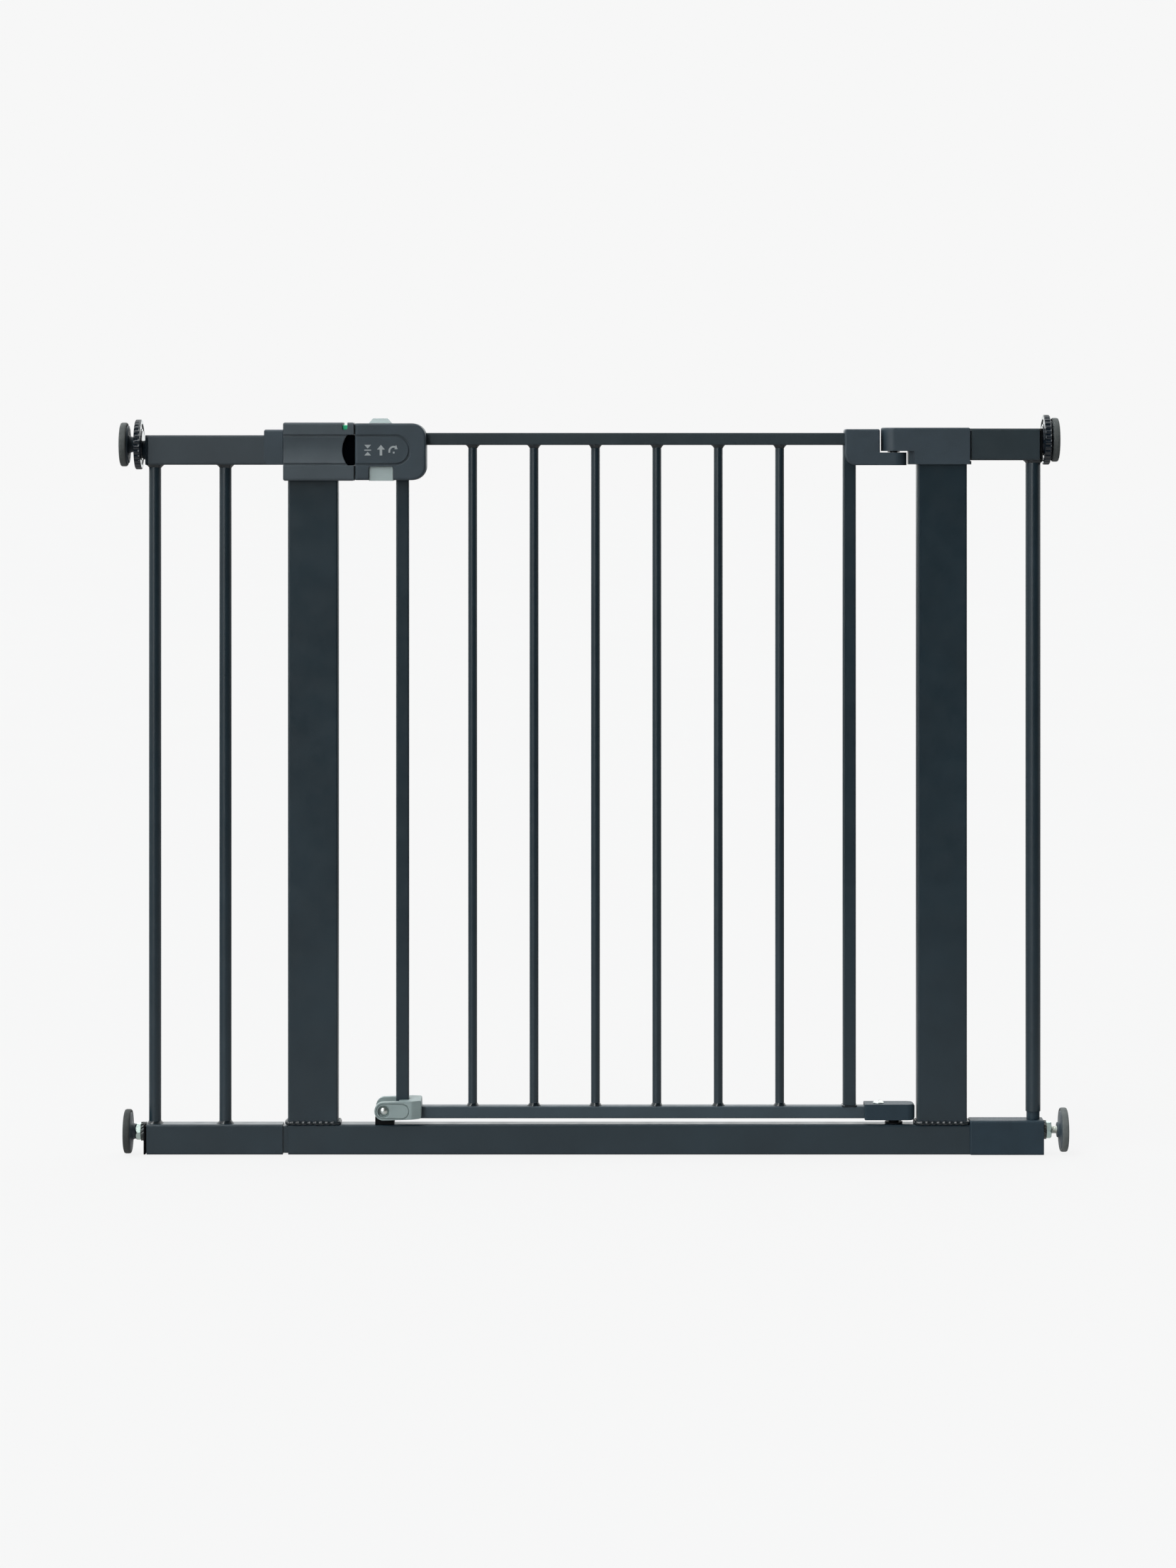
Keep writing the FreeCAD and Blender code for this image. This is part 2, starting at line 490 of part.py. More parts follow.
def foot_lock():
    """Clamp on the door's lower corner, whose two ears straddle the stub, and its bolt and nut."""
    (left, right), (axis_x, axis_z) = FOOT_X, FOOT_AXIS
    side = [(left, axis_z + FOOT_R - 0.5, 9.2), (right - 0.6, 56.4, 1.5), (right, 38.0, 3.0),
            (left, axis_z - FOOT_R, 9.2)]
    narrow, taper_x, end = 15.5, -185.5, right + 0.1
    plan = [(left - 5, -FOOT_Y, 0), (taper_x, -FOOT_Y, 5.0), (end, -narrow, 2.5), (end, narrow, 2.5),
            (taper_x, FOOT_Y, 5.0), (left - 5, FOOT_Y, 0)]
    clamp = slab("xz", side, *sym(FOOT_Y)).common(slab("xy", plan, 20, 80))
    clamp = clamp.cut(box((left - PAST, -198.5), sym(EAR_IN), (20, 80)))
    rail_y, rail_low, inner_x = sym(RAIL_Y + SLIP), BOTTOM_RAIL_Z[0] - SLIP, -203
    clamp = clamp.cut(box((inner_x, LATCH_STILE_X[1] + SLIP), rail_y, (rail_low, 80)))
    clamp = clamp.cut(box((inner_x, right + PAST), rail_y, (rail_low, BOTTOM_RAIL_Z[1] + SLIP)))

    # Recess round the bolt head and the thin outline on each cheek
    recess_r, recess_deep, groove_deep = 6.2, 3.4, 0.9
    ring_r, ring_end = (6.9, 7.9), -195.6
    for sign in (-1, 1):
        face = sign * FOOT_Y
        deep = sorted((face, face - sign * recess_deep))
        clamp = clamp.cut(cyl((axis_x, deep[0], axis_z), Y_AXIS, recess_r, recess_deep))
        thin = sorted((face, face - sign * groove_deep))
        inner, outer = [pill(axis_x, ring_end, axis_z, radius, thin) for radius in ring_r]
        clamp = clamp.cut(outer.cut(inner))
    bolt_r = 2.9
    NODES["foot_clamp"] = clamp.cut(cyl((axis_x, -WIDE, axis_z), Y_AXIS, bolt_r + SLIP, 2 * WIDE))
    seat = FOOT_Y - recess_deep
    bolt = pan_screw((axis_x, -seat, axis_z), V(0, -1, 0), 4.4, 2.6, bolt_r, 2 * FOOT_Y - 4.4, plain=True)
    NODES["foot_bolt"] = bolt
    nut = hexagon((axis_x, seat, axis_z), Y_AXIS, 9.8, 2.6)
    NODES["foot_nut"] = nut.cut(cyl((axis_x, 0, axis_z), Y_AXIS, bolt_r, WIDE))


def pill(left, right, middle, radius, span):
    """Stadium shape across Y between two centres."""
    low, high = span
    ends = [cyl((x, low, middle), Y_AXIS, radius, high - low) for x in (left, right)]
    return join(box((left, right), span, (middle - radius, middle + radius)), *ends)


# ---------------------------------------------------------------- latch on the door

def latch_half():
    """Front half of the latch housing: raised panel, button openings and hollow inside."""
    (left, right), (low, high), wall = LATCH_X, LATCH_Z, LATCH_WALL
    face, corner = -LATCH_Y, LATCH_CORNER
    outline = [(left, low, 1.5), (right, low, corner), (right, high, corner), (left, high, 1.5)]
    body = slab("xz", outline, face, 0)
    body = soften(body, 2.2, lambda b: near(b.YMin, face) and near(b.YMax, face) and b.XMax > left + 1)
    in_left, in_right, in_low, in_high = left + wall, right - wall, low + wall, high - wall
    in_corner = corner - wall
    hollow = [(in_left, in_low, 0), (in_right, in_low, in_corner), (in_right, in_high, in_corner),
              (in_left, in_high, 0)]
    body = body.cut(slab("xz", hollow, face + 2.4, PAST))

    # Groove round the raised panel
    middle, outer_r = sum(MOUTH_Z) / 2, (MOUTH_Z[1] - MOUTH_Z[0]) / 2
    groove_wide, groove_deep = 2.2, 1.1
    groove_y = (face - PAST, face + groove_deep)
    outer, inner = [pill(left - 20, PILL_END - outer_r, middle, radius, groove_y)
                    for radius in (outer_r, outer_r - groove_wide)]
    body = body.cut(outer.cut(inner))

    # Openings: bolt, top button, bottom button, stile and top rail
    bolt_y, bolt_z = (-BOLT_Y - 0.3, PAST), (BOLT_Z[0] - BUTTON_GAP, BOLT_Z[1] + BUTTON_GAP)
    body = body.cut(box((left - PAST, in_left + PAST), bolt_y, bolt_z))
    top_x = (TOP_BUTTON_X[0] - BUTTON_GAP, TOP_BUTTON_X[1] + BUTTON_GAP)
    top_y = (-TOP_BUTTON_Y - BUTTON_GAP, PAST)
    body = body.cut(box(top_x, top_y, (in_high - PAST, high + PAST)))
    open_left, open_right = BOTTOM_BUTTON_X[0] - BUTTON_GAP, BOTTOM_BUTTON_X[1] + BUTTON_GAP
    notch_high = BOTTOM_BUTTON_Z[1] + BUTTON_GAP
    notch = [(open_left, low - PAST, 0), (open_right, low - PAST, 0), (open_right, notch_high, 2.6),
             (open_left, notch_high, 2.6)]
    body = body.cut(slab("xz", notch, face - PAST, PAST))
    body = body.cut(box((open_left - 0.6, open_right + 0.6), (face + 2.0, PAST), (in_low, 709.0)))
    rail_y = (-RAIL_Y - SLIP, PAST)
    stile_x = (LATCH_STILE_X[0] - SLIP, LATCH_STILE_X[1] + SLIP)
    body = body.cut(box(stile_x, rail_y, (low - PAST, in_low + PAST)))
    rail_z = (TOP_RAIL_Z[0] - SLIP, TOP_RAIL_Z[1] + SLIP)
    return body.cut(box((in_right - PAST, right + PAST), rail_y, rail_z))


def latch_housing():
    front = latch_half()
    rear = front.mirror(V(0, 0, 0), Y_AXIS)
    deep, bore_y = LATCH_Y - 1.6, 15.4
    places = [(-180.5, 711.0), (-237.4, 697.0), (-184.0, 741.2)]
    for x, z in places:
        rear = rear.fuse(cyl((x, 0, z), Y_AXIS, BOSS_R, deep))
        rear = rear.cut(cyl((x, -PAST, z), Y_AXIS, SHANK_HOLE_R, 2 * WIDE))
        rear = rear.cut(cyl((x, bore_y, z), Y_AXIS, HEAD_R, 10))
        front = front.fuse(cyl((x, -deep, z), Y_AXIS, BOSS_R, deep))
        front = front.cut(cyl((x, -12.0, z), Y_AXIS, PILOT_R, 13))
    bolt_spring_stop = box((BOLT_SPRING_X[1], BOLT_SPRING_X[1] + 2.6), (7.6, deep), (707.6, 724.4))
    shelf_over_bolt = box((-231.5, -204.6), (2.2, deep), (724.5, TOP_SPRING_Z))
    guide_under_bolt = box((-241.2, -232.6), (0.2, deep), (704.4, BOLT_Z[0] - 0.3))
    shelf_over_button = box((-231.0, -204.6), (-deep, -7.0), (709.2, 711.0))
    NODES["latch_front_shell"] = join(front, shelf_over_button)
    NODES["latch_rear_shell"] = join(rear, bolt_spring_stop, shelf_over_bolt, guide_under_bolt)
    screws = [pan_screw((x, bore_y, z), Y_AXIS, 2.8, 1.8, PILOT_R, 24.0) for x, z in places]
    NODES["latch_screws"] = Part.makeCompound(screws)


def wedge(sign, start, y):
    """Stem that ends in the sloped face which works on the bolt; sign is +1 for the top button."""
    clearance = 0.25
    rise = (STEM_X[1] - STEM_X[0]) * RAMP
    edge = (BOLT_Z[1] if sign > 0 else BOLT_Z[0]) - sign * NOTCH_INSET
    tip = [(STEM_X[0], start, 0), (STEM_X[1], start, 0), (STEM_X[1], edge + sign * clearance, 0),
           (STEM_X[0], edge - sign * (rise - clearance), 0)]
    return slab("xz", tip if sign < 0 else tip[::-1], *y)


def bolt_notch(sign, y):
    """Notch in the bolt under a wedge: an upright end and a ramp that carries the whole travel."""
    edge = (BOLT_Z[1] if sign > 0 else BOLT_Z[0]) - sign * NOTCH_INSET
    over = NOTCH_INSET + PAST
    left = STEM_X[0] - BOLT_TRAVEL - 0.4
    depth = (STEM_X[1] - left) * RAMP
    right = STEM_X[1] + over / RAMP
    points = [(left, edge - sign * depth, 0), (right, edge + sign * over, 0), (left, edge + sign * over, 0)]
    return slab("xz", points, *y)


def latch_mechanism():
    stem_y = (1.3, 5.0)
    spring_x = sum(STEM_X) / 2
    # Top button: tapered cap, flange that keeps it in, stem and wedge
    (left, right), half = TOP_BUTTON_X, TOP_BUTTON_Y
    shoulder, top, taper = 746.6, 751.3, 3.9
    outline = [(left, 743.0, 0), (right, 743.0, 0), (right, shoulder, 0.5), (right - taper, top, 0.8),
               (left + taper, top, 0.8), (left, shoulder, 0.5)]
    section = [(-half, 743.0, 0), (half, 743.0, 0), (half, shoulder, 0.5), (half - taper, top, 0.8),
               (taper - half, top, 0.8), (-half, shoulder, 0.5)]
    cap = slab("xz", outline, *sym(half)).common(slab("yz", section, left, right))
    flange = box((left - 2.0, right + 1.6), sym(half + 1.4), (TOP_FLANGE_Z, 743.6))
    stem = wedge(1, 741.0, (-stem_y[1], -stem_y[0]))
    NODES["top_button"] = join(cap, flange, stem)

    # Bottom button: block with a bore for its spring, lip that closes its opening, stem and wedge
    (left, right), (low, high) = BOTTOM_BUTTON_X, BOTTOM_BUTTON_Z
    front, lip_high = -LATCH_Y + 2.3, 2.0
    block = slab("xz", [(left, low, 0.6), (right, low, 0.6), (right, high, 2.4), (left, high, 2.4)],
                 *sym(front))
    lip = box((left + 0.2, right - 0.2), (front, front + 6.0), (high - 4.0, high + lip_high))
    block = join(block, lip)
    bore = (spring_x, -11.0, 692.0)
    block = block.cut(cyl(bore, Z_AXIS, 3.6, 12))
    NODES["bottom_button"] = join(block, wedge(-1, high - 0.8, stem_y))

    # Bolt: rounded nose, a notch for each wedge and a lug for its spring
    (left, right), nose_r = BOLT_X, 3.6
    plan = [(left, -BOLT_Y, nose_r), (right, -BOLT_Y, 0), (right, BOLT_Y, 0), (left, BOLT_Y, nose_r)]
    bolt = slab("xy", plan, *BOLT_Z)
    bolt = bolt.cut(bolt_notch(1, (-BOLT_Y - PAST, -1.0))).cut(bolt_notch(-1, (1.0, BOLT_Y + PAST)))
    lug = box((BOLT_SPRING_X[0] - 3.8, BOLT_SPRING_X[0]), (BOLT_Y - 0.5, 13.6), (710.6, 721.4))
    NODES["bolt"] = join(bolt, lug)

    bolt_gap = BOLT_SPRING_X[1] - BOLT_SPRING_X[0]
    NODES["bolt_spring"] = coil((BOLT_SPRING_X[0], 10.4, 716.0), X_AXIS, 2.6, 0.4, bolt_gap, 9)
    top_seat = (spring_x, 7.2, TOP_SPRING_Z)
    NODES["top_button_spring"] = coil(top_seat, Z_AXIS, 2.3, 0.35, TOP_FLANGE_Z - TOP_SPRING_Z, 7)
    NODES["bottom_button_spring"] = coil(bore, Z_AXIS, 2.4, 0.4, 17.2, 7)


# ---------------------------------------------------------------- wall pads

def wall_pads():
    """Each corner: a rubber pad on a screwed spindle."""
    hub_r, hub_flare, grip = 7.6, 2.0, 4.6
    corners = {
        "upper_left": (-1, UPPER_LEFT_Z, 483.6, 62.0, 7.0),
        "upper_right": (1, UPPER_RIGHT_Z, 474.6, 52.0, 0.9),
        "lower_left": (-1, LOWER_LEFT_Z, 479.6, 62.0, 4.0),
        "lower_right": (1, LOWER_RIGHT_Z, 483.6, 62.0, 2.8),
    }
    for name, (side, z, face, reach, hub_long) in corners.items():
        out = X_AXIS * side
        inner = side * (face - PAD_THICK)
        disc = cyl((inner, 0, z), out, PAD_R, PAD_THICK)
        disc = soften(disc, 2.0, lambda b: near(b.XMin, b.XMax) and b.YLength > 2 * PAD_R - 1)
        hub = Part.makeCone(hub_r, hub_r + hub_flare, hub_long, V(inner - side * hub_long, 0, z), out)
        mouth = hub_long + PAST
        socket = cyl((inner - side * mouth, 0, z), out, SPINDLE_R + 0.02, mouth + grip + 0.4)
        NODES["pad_" + name] = join(disc, hub).cut(socket)
        NODES["spindle_" + name] = cyl((inner - side * reach, 0, z), out, SPINDLE_R, reach + grip)


def hand_wheels():
    """Fluted wheels that screw the upper pads out."""
    flute_r, flute_out = 2.9, WHEEL_R + 1.9
    flute_in, flute_long = WHEEL_HUB + 1.9, WHEEL_RIM - 3.2
    for name, side, z in (("left", -1, UPPER_LEFT_Z), ("right", 1, UPPER_RIGHT_Z)):
        out = X_AXIS * side
        start = side * WHEEL_SEAT[name]
        rim_start = start + side * WHEEL_HUB
        hub = cyl((start, 0, z), out, WHEEL_HUB_R, WHEEL_HUB + 2)
        rim = cyl((rim_start, 0, z), out, WHEEL_R, WHEEL_RIM)
        rim = soften(rim, 1.2, lambda b: near(b.XMin, b.XMax))
        dish = cyl((rim_start + side * (WHEEL_RIM - 1.6), 0, z), out, 18.0, 3)
        ring = cyl((rim_start - side, 0, z), out, 21.0, 1.9)
        ring = ring.cut(cyl((rim_start - side, 0, z), out, 16.0, 1.9))
        wheel = join(rim.cut(ring), hub).cut(dish)
        flutes = []
        for i in range(WHEEL_RIBS):
            angle = 2 * math.pi * i / WHEEL_RIBS
            y, up = flute_out * math.cos(angle), z + flute_out * math.sin(angle)
            low = start + side * flute_in
            body = cyl((low, y, up), out, flute_r, flute_long)
            ends = [Part.makeSphere(flute_r, V(x, y, up)) for x in (low, low + side * flute_long)]
            flutes.append(join(body, *ends))
        wheel = wheel.cut(Part.makeCompound(flutes))
        NODES["hand_wheel_" + name] = wheel.cut(cyl((start - side, 0, z), out, SPINDLE_R + 0.05, 20))


def lower_nuts():
    """Nuts that set the lower pads, each on a toothed washer."""
    lean = math.radians(38)
    tooth_r, tooth_out, tooth_long = 1.15, WASHER_R + 0.3, 8.0
    washers = []
    seats = {"left": (-1, LOWER_LEFT_Z, 459.3), "right": (1, LOWER_RIGHT_Z, SLEEVE_X[1])}
    for name, (side, z, seat) in seats.items():
        out = X_AXIS * side
        start = side * seat
        teeth = []
        for i in range(WASHER_TEETH):
            angle = 2 * math.pi * i / WASHER_TEETH
            y, up = math.cos(angle), math.sin(angle)
            along = V(side * math.cos(lean), -up * math.sin(lean), y * math.sin(lean))
            middle = V(start + side * WASHER_HIGH / 2, tooth_out * y, z + tooth_out * up)
            teeth.append(cyl(middle - along * (tooth_long / 2), along, tooth_r, tooth_long))
        ring = cyl((start, 0, z), out, WASHER_R, WASHER_HIGH).cut(Part.makeCompound(teeth))
        washers.append(ring.cut(cyl((start - side, 0, z), out, SPINDLE_R + SLIP, WASHER_HIGH + 2)))
        nut = hexagon((start + side * (WASHER_HIGH + 0.2), 0, z), out, NUT_FLATS, NUT_HIGH, chamfered=True)
        NODES["nut_" + name] = nut.cut(cyl((start, 0, z), out, SPINDLE_R + 0.05, 20))
    NODES["lock_washers"] = Part.makeCompound(washers)


def main():
    steel_frame()
    end_caps()
    floor_fittings()
    catch()
    door_frame()
    upper_hinge()
    lower_hinge()
    foot_lock()
    latch_housing()
    latch_mechanism()
    wall_pads()
    hand_wheels()
    lower_nuts()
    os.makedirs("parts", exist_ok=True)
    for name, shape in NODES.items():
        shape.exportStep(f"parts/{name}.step")
        state = "" if shape.isValid() and shape.Volume > 0 else "  INVALID"
        print(f"{name}: {len(shape.Solids)} solid, {shape.Volume:.0f} mm3{state}")
    print(len(NODES), "nodes")


main()
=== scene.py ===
"""Looks of the stair gate: materials, welds, threads, rubber pads, pictogram, studio and camera. Metres."""
import json
import math

import bmesh
import bpy
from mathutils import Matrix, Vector


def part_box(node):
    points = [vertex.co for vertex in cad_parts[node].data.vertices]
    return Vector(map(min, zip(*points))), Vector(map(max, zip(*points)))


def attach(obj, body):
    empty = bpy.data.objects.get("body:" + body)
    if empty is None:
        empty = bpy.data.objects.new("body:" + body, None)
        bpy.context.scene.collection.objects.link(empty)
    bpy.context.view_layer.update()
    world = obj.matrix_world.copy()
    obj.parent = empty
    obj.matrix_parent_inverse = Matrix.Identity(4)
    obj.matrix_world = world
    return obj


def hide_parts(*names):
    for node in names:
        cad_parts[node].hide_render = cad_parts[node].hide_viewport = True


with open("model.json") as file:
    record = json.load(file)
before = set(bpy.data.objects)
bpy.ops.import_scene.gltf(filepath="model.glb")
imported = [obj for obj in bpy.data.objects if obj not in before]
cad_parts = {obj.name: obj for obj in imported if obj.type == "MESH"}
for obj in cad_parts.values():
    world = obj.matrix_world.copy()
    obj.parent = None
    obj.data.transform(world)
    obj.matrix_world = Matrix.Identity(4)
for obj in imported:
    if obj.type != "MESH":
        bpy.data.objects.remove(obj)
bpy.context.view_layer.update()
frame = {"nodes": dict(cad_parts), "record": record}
MM = 0.001


# ---------------------------------------------------------------- shader helpers

class Shader:
    """A node material with one Principled shader, textured in object coordinates."""

    def __init__(self, name):
        self.material = bpy.data.materials.new(name)
        self.material.use_nodes = True
        self.tree = self.material.node_tree
        self.principled = self.tree.nodes["Principled BSDF"]
        self.coords = self.tree.nodes.new("ShaderNodeTexCoord").outputs["Object"]

    def node(self, kind, **settings):
        made = self.tree.nodes.new(kind)
        for key, value in settings.items():
            setattr(made, key, value)
        return made

    def link(self, source, target):
        self.tree.links.new(source, target)

    def set(self, **values):
        """Set Principled inputs by name, with underscores for the spaces."""
        for key, value in values.items():
            socket = self.principled.inputs[key.replace("_", " ")]
            socket.default_value = (*value, 1.0) if isinstance(value, tuple) and len(value) == 3 else value

    def noise(self, scale, detail=3.0, roughness=0.55):
        noise = self.node("ShaderNodeTexNoise")
        noise.inputs["Scale"].default_value = scale
        noise.inputs["Detail"].default_value = detail
        noise.inputs["Roughness"].default_value = roughness
        self.link(self.coords, noise.inputs["Vector"])
        return noise.outputs["Fac"]

    def between(self, factor, low, high, from_low=0.3, from_high=0.7):
        """Map a noise factor to a range of numbers."""
        spread = self.node("ShaderNodeMapRange")
        spread.inputs["From Min"].default_value = from_low
        spread.inputs["From Max"].default_value = from_high
        spread.inputs["To Min"].default_value = low
        spread.inputs["To Max"].default_value = high
        self.link(factor, spread.inputs["Value"])
        return spread.outputs["Result"]

    def mix(self, factor, first, second):
        """Blend two colours, each a tuple or a socket, by a factor."""
        mix = self.node("ShaderNodeMix", data_type="RGBA")
        self.link(factor, mix.inputs["Factor"])
        for socket, colour in ((mix.inputs[6], first), (mix.inputs[7], second)):
            if isinstance(colour, tuple):
                socket.default_value = (*colour, 1.0)
            else:
                self.link(colour, socket)
        return mix.outputs[2]

    def bump(self, layers, edge=0.0):
        """Stack of (height socket, distance in metres, strength) bumps over optionally rounded edges."""
        normal = None
        if edge:
            bevel = self.node("ShaderNodeBevel", samples=4)
            bevel.inputs["Radius"].default_value = edge
            normal = bevel.outputs["Normal"]
        for height, distance, strength in layers:
            bump = self.node("ShaderNodeBump")
            bump.inputs["Distance"].default_value = distance
            bump.inputs["Strength"].default_value = strength
            self.link(height, bump.inputs["Height"])
            if normal is not None:
                self.link(normal, bump.inputs["Normal"])
            normal = bump.outputs["Normal"]
        self.link(normal, self.principled.inputs["Normal"])

    def colour(self, socket):
        self.link(socket, self.principled.inputs["Base Color"])

    def rough(self, socket):
        self.link(socket, self.principled.inputs["Roughness"])


# ---------------------------------------------------------------- materials

def scaled(colour, factor):
    return tuple(channel * factor for channel in colour)


def powder_coat(name, rough=(0.285, 0.36), base=(0.0105, 0.0225, 0.0315)):
    """Satin anthracite powder coat with a faint orange peel."""
    shader = Shader(name)
    patches = shader.noise(14.0, 4.0)
    shader.colour(shader.mix(shader.between(patches, 0.0, 1.0), scaled(base, 0.88), scaled(base, 1.14)))
    shader.rough(shader.between(shader.noise(60.0, 2.0), *rough))
    peel = shader.noise(150.0, 1.0, 0.3)
    shader.bump([(peel, 0.00003, 0.20)], edge=0.0007)
    shader.set(Specular_IOR_Level=0.5)
    return shader.material


def moulded_plastic(name, base, rough=(0.42, 0.55), grain=0.3, edge=0.0008, specular=0.5):
    """Injection-moulded plastic with spark-eroded grain."""
    shader = Shader(name)
    cloud = shader.noise(45.0, 4.0)
    shader.colour(shader.mix(shader.between(cloud, 0.0, 1.0), scaled(base, 0.92), scaled(base, 1.09)))
    shader.rough(shader.between(shader.noise(700.0, 2.0), *rough))
    fine = shader.noise(3400.0, 3.0, 0.6)
    wide = shader.noise(90.0, 2.0)
    shader.bump([(wide, 0.0003, 0.10), (fine, 0.00005, grain)], edge=edge)
    shader.set(Specular_IOR_Level=specular)
    return shader.material


def flag_plastic():
    """Indicator flag: green at its window end, red behind it."""
    shader = Shader("flag_plastic")
    split = shader.node("ShaderNodeSeparateXYZ")
    shader.link(shader.coords, split.inputs["Vector"])
    green_long, blend = 5.9 * MM, 0.1 * MM
    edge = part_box("indicator_flag")[1][0] - green_long
    side = shader.between(split.outputs["X"], 0.0, 1.0, edge - blend, edge + blend)
    mottle = shader.between(shader.noise(300.0, 2.0), 0.0, 1.0)
    green = shader.mix(mottle, (0.020, 0.440, 0.205), (0.030, 0.520, 0.250))
    red = shader.mix(mottle, (0.520, 0.020, 0.018), (0.600, 0.030, 0.022))
    shader.colour(shader.mix(side, red, green))
    shader.rough(shader.between(shader.noise(900.0, 2.0), 0.30, 0.42))
    shader.bump([(shader.noise(1500.0, 2.0), 0.00003, 0.2)], edge=0.0004)
    return shader.material


def rubber(name, painted_light_scale=1.0):
    """Matt grey rubber with a little dust; the scale factor darkens or lightens one pad's colour as painted
    shade or painted light.
    """
    shader = Shader(name)
    dust = shader.noise(160.0, 5.0, 0.65)
    # both colours scaled by the factor: painted shade or painted light for the lower pads
    clean, dusty = scaled((0.056, 0.064, 0.064), painted_light_scale), scaled((0.086, 0.094, 0.093), painted_light_scale)
    shader.colour(shader.mix(shader.between(dust, 0.0, 1.0), clean, dusty))
    shader.rough(shader.between(shader.noise(1200.0, 3.0), 0.62, 0.80))
    shader.bump([(shader.noise(2200.0, 4.0, 0.7), 0.00006, 0.5), (dust, 0.0002, 0.12)], edge=0.0006)
    shader.set(Specular_IOR_Level=0.35)
    return shader.material


def zinc(name, cool, warm):
    """Zinc plate whose passivation drifts between a cool and a warm tint, with dull spots."""
    shader = Shader(name)
    drift = shader.noise(110.0, 3.0)
    tint = shader.mix(shader.between(drift, 0.0, 1.0), cool, warm)
    spots = shader.between(shader.noise(900.0, 4.0), 0.0, 1.0, 0.55, 0.75)
    shader.colour(shader.mix(spots, tint, scaled(cool, 0.85)))
    shader.rough(shader.between(shader.noise(650.0, 3.0), 0.28, 0.38))
    shader.bump([(shader.noise(1800.0, 2.0), 0.00004, 0.3)], edge=0.0004)
    shader.set(Metallic=1.0)
    return shader.material


def spring_wire():
    """Drawn steel wire."""
    shader = Shader("spring_wire")
    streaks = shader.between(shader.noise(800.0, 3.0), 0.0, 1.0)
    shader.colour(shader.mix(streaks, (0.32, 0.32, 0.33), (0.48, 0.47, 0.46)))
    shader.rough(shader.between(shader.noise(1500.0, 2.0), 0.28, 0.42))
    shader.bump([(shader.noise(3000.0, 2.0), 0.00002, 0.3)])
    shader.set(Metallic=1.0)
    return shader.material


def print_ink():
    """Grey pad-printed ink."""
    shader = Shader("pad_print")
    cover = shader.between(shader.noise(1500.0, 3.0), 0.0, 1.0)
    shader.colour(shader.mix(cover, (0.30, 0.33, 0.34), (0.36, 0.39, 0.40)))
    shader.rough(shader.between(shader.noise(900.0, 2.0), 0.45, 0.6))
    shader.bump([(shader.noise(4000.0, 2.0), 0.00002, 0.3)])
    return shader.material


# one material for each slot of the record, and the finishes that some pieces have instead; several of those
# are copies with painted light or painted shade
MATERIALS = {
    "powder_coated_steel": powder_coat("powder_coat"),
    # lighter copies of the one powder coat for the rails and the extension top tubes: painted light, standing
    # in for how light falls on them
    "matt_steel_painted_light": powder_coat("matt_powder_coat_painted_light", (0.40, 0.50), (0.0150, 0.0265, 0.0340)),
    "steel_painted_lighter": powder_coat("powder_coat_painted_lighter", (0.46, 0.56), (0.0290, 0.0410, 0.0510)),
    "bottom_rail_steel_painted_light": powder_coat("bottom_rail_coat_painted_light", (0.40, 0.50), (0.0250, 0.0430, 0.0570)),
    # glossier copy of the coat, darkened to near-black: painted shade where the weld seams lie in shadow
    "weld_coat_painted_shade": powder_coat("weld_coat_painted_shade", (0.12, 0.20), (0.0050, 0.0095, 0.0130)),
    # lighter copy of the housing plastic for the catch shells: painted light
    "catch_plastic_painted_light": moulded_plastic("catch_plastic_painted_light", (0.0490, 0.0650, 0.0780)),
    # near-black liner without specular: painted shade standing in for the dark depth of the catch's mouth
    "liner_plastic_painted_shade": moulded_plastic("liner_plastic_painted_shade", (0.0008, 0.0012, 0.0022), specular=0.0),
    "housing_plastic": moulded_plastic("housing_plastic", (0.0295, 0.0455, 0.0600)),
    "dark_plastic": moulded_plastic("dark_plastic", (0.0140, 0.0290, 0.0420), specular=0.3),
    "latch_plastic": moulded_plastic("latch_plastic", (0.0300, 0.0455, 0.0590)),
    "black_plastic": moulded_plastic("black_plastic", (0.0020, 0.0026, 0.0034), specular=0.08),
    "grey_plastic": moulded_plastic("grey_plastic", (0.240, 0.300, 0.300), (0.44, 0.56), 0.2),
    "button_plastic": moulded_plastic("button_plastic", (0.370, 0.440, 0.440), (0.40, 0.52), 0.2),
    "green_plastic": flag_plastic(),
    "wheel_plastic": moulded_plastic("wheel_plastic", (0.0035, 0.0085, 0.0150), rough=(0.10, 0.18),
                                     grain=0.06, edge=0.0004, specular=0.6),
    "rubber_upper_left": rubber("rubber_upper_left"),
    "rubber_upper_right": rubber("rubber_upper_right"),
    # lower left pad darkened as painted shade, lower right lightened as painted light
    "rubber_lower_left": rubber("rubber_lower_left", 0.5),
    "rubber_lower_right": rubber("rubber_lower_right", 1.45),
    "pad_rubber": rubber("pad_rubber"),
    "zinc_steel": zinc("zinc_plate", (0.60, 0.66, 0.67), (0.70, 0.70, 0.61)),
    "washer_steel": zinc("washer_plate", (0.075, 0.085, 0.090), (0.120, 0.125, 0.115)),
    "nut_steel": zinc("nut_plate", (0.50, 0.64, 0.62), (0.62, 0.72, 0.66)),
    "spring_steel": spring_wire(),
    "print": print_ink(),
}

